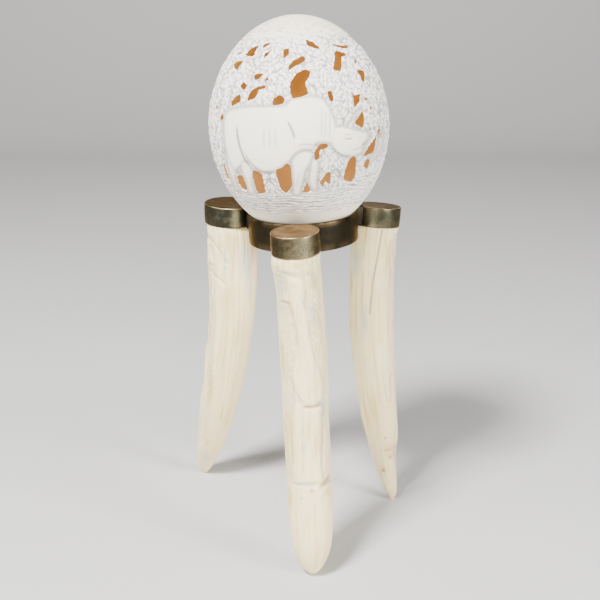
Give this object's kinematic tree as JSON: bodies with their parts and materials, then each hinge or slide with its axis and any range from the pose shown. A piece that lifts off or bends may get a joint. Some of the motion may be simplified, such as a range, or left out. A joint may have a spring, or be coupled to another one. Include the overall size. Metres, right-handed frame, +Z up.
{
  "type": "carved ostrich egg on stand",
  "caption": "Openwork carved ostrich egg resting in a brass ring held up by tusk legs with brass caps.",
  "frame": {"origin": "on the surface the stand rests on, below the middle of the object's bounding box", "axes": "+Z up along the egg's height, -Y the carved front with the front leg, +X to the viewer's right"},
  "size_m": [0.1652, 0.1726, 0.3798],
  "materials": {
    "carved_shell": "pale cream eggshell, stippled where carved and smooth on the figure",
    "tusk_ivory": "cream tusk with lengthwise streaks, low gloss",
    "dark_brass": "dark mottled patina",
    "bronze_brass": "brown patina, worn on the edges"
  },
  "bodies": {
    "root": {"egg": "carved_shell", "ring": "dark_brass", "cap_front": "bronze_brass", "cap_right": "bronze_brass", "cap_left": "bronze_brass", "tusk_front": "tusk_ivory", "tusk_right": "tusk_ivory", "tusk_left": "tusk_ivory"}
  },
  "joints": []
}
